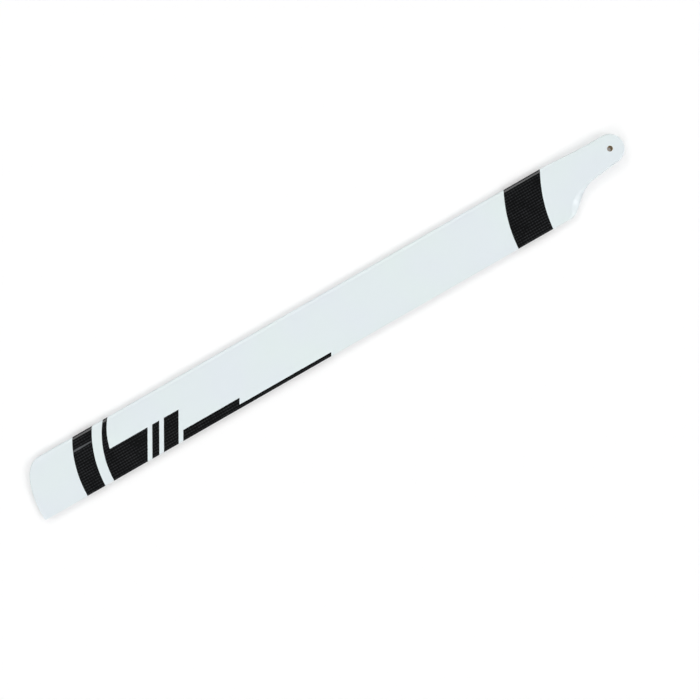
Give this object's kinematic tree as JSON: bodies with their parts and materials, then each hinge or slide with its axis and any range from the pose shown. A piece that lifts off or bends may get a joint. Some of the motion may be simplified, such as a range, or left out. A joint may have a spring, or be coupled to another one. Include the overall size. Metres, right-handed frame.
{
  "type": "helicopter rotor blade",
  "caption": "Straight symmetric-aerofoil main rotor blade for a radio-controlled helicopter, with a flat bolted root pad and a rounded tip.",
  "frame": {"origin": "on the axis of the root's bolt bore, at mid thickness", "axes": "+X along the span to the tip, +Z along the bolt bore, the leading edge on the -Y side"},
  "size_m": [0.7158, 0.061, 0.012],
  "materials": {
    "blade_skin": "glossy white paint over carbon fibre, with bare clear-coated carbon bands and bars",
    "bush_brass": "turned, slightly dulled"
  },
  "bodies": {
    "root": {"blade": "blade_skin", "root_bush": "bush_brass"}
  },
  "joints": []
}
